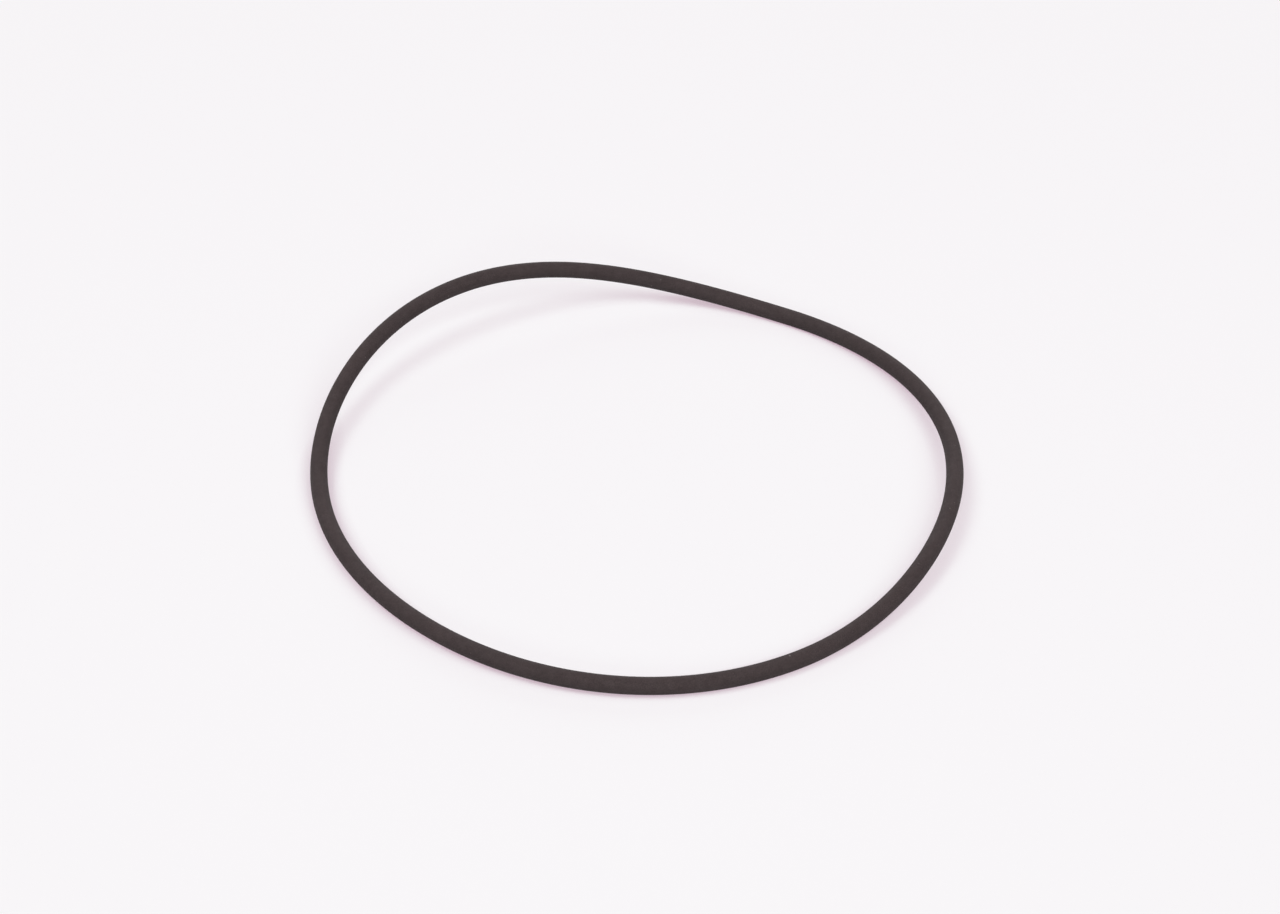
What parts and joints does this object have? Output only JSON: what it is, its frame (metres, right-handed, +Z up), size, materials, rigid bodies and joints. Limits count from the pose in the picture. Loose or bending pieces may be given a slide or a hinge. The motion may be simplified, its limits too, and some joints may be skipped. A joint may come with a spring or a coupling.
{
  "type": "rubber O-ring seal",
  "caption": "Round-section rubber O-ring, relaxed on a flat surface with its back edge arched clear of it. Pressed into a groove, it seals the joint between a rod or cap and its housing.",
  "frame": {"origin": "on the surface that the ring lies on, under the middle of its outline seen from above", "axes": "+Z up, through the ring's central hole; +X to the right of the picture and +Y away from its camera, so the high arch is at the back left, towards -X and +Y"},
  "size_m": [0.1356, 0.137, 0.0133],
  "materials": {
    "rubber": "matte black moulded rubber, slightly warm, with a faint grey bloom"
  },
  "bodies": {
    "root": {"o_ring": "rubber"}
  },
  "joints": []
}
